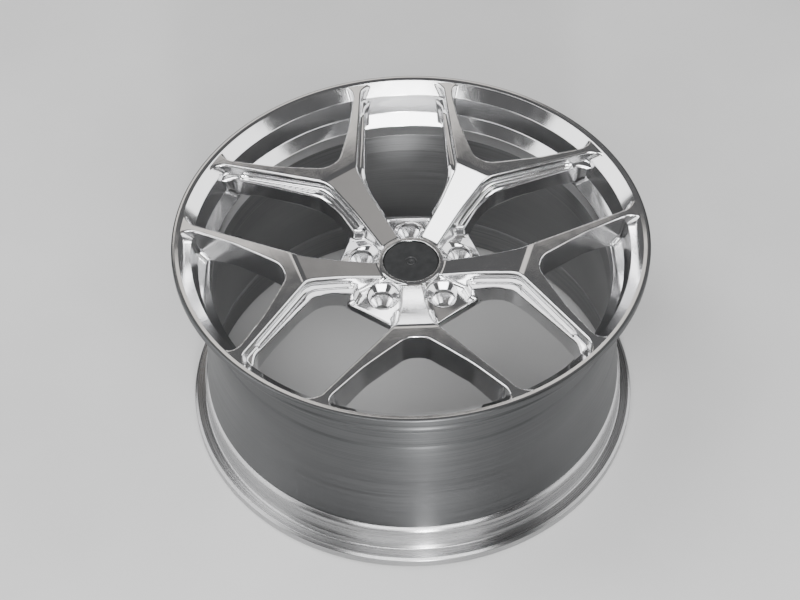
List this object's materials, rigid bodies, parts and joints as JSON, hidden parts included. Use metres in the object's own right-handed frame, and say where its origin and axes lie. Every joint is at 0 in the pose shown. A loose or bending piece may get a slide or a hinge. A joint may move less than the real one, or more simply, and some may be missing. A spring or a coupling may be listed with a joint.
{
  "type": "forged racing wheel rim",
  "caption": "Forged aluminium racing wheel lying face up: twin-arm Y spokes, polished face and lip, brushed barrel, black snap-in centre cap and a screw-capped valve.",
  "frame": {"origin": "on the wheel's axis, in the plane of the inboard flange that it stands on", "axes": "+Z is the wheel's axis, from the inboard side to the face; the first spoke points to -Y"},
  "size_m": [0.543, 0.543, 0.274],
  "materials": {
    "polished_aluminium": "mirror polished",
    "brushed_aluminium": "lathe brushed",
    "hub_ring_plastic": "matte",
    "cap_black": "satin black",
    "clip_plastic": "matte",
    "spring_steel": "zinc plated",
    "valve_metal": "nickel plated",
    "seal_rubber": "matte",
    "core_brass": "satin",
    "valve_cap_black": "knurled matte"
  },
  "bodies": {
    "wheel": {"hub_core": "polished_aluminium", "lug_pad_1": "polished_aluminium", "lug_pad_2": "polished_aluminium", "lug_pad_3": "polished_aluminium", "lug_pad_4": "polished_aluminium", "lug_pad_5": "polished_aluminium", "spoke_1": "polished_aluminium", "spoke_2": "polished_aluminium", "spoke_3": "polished_aluminium", "spoke_4": "polished_aluminium", "spoke_5": "polished_aluminium", "outboard_lip": "polished_aluminium", "rim_barrel": "brushed_aluminium", "inboard_flange": "brushed_aluminium", "hub_ring": "hub_ring_plastic", "valve_stem": "valve_metal", "valve_grommet": "seal_rubber", "valve_washer": "spring_steel", "valve_nut": "spring_steel", "valve_core": "core_brass"},
    "cap": {"centre_cap": "cap_black", "cap_retainer": "clip_plastic", "cap_spring": "spring_steel"},
    "dust_cap": {"valve_cap": "valve_cap_black", "valve_cap_seal": "seal_rubber"},
    "pin": {"valve_pin": "spring_steel"}
  },
  "joints": [
    {"name": "cap_pull", "type": "slide", "parent": "wheel", "child": "cap", "axis": [0, 0, 1], "range_m": [0, 0.03]},
    {"name": "dust_cap_off", "type": "slide", "parent": "wheel", "child": "dust_cap", "axis": [0.9366, -0.3043, 0.1736], "range_m": [0, 0.015]},
    {"name": "pin_press", "type": "slide", "parent": "wheel", "child": "pin", "axis": [-0.9366, 0.3043, -0.1736], "range_m": [0, 0.0015], "stiffness_N_per_m": 200, "springref_m": -0.002}
  ]
}
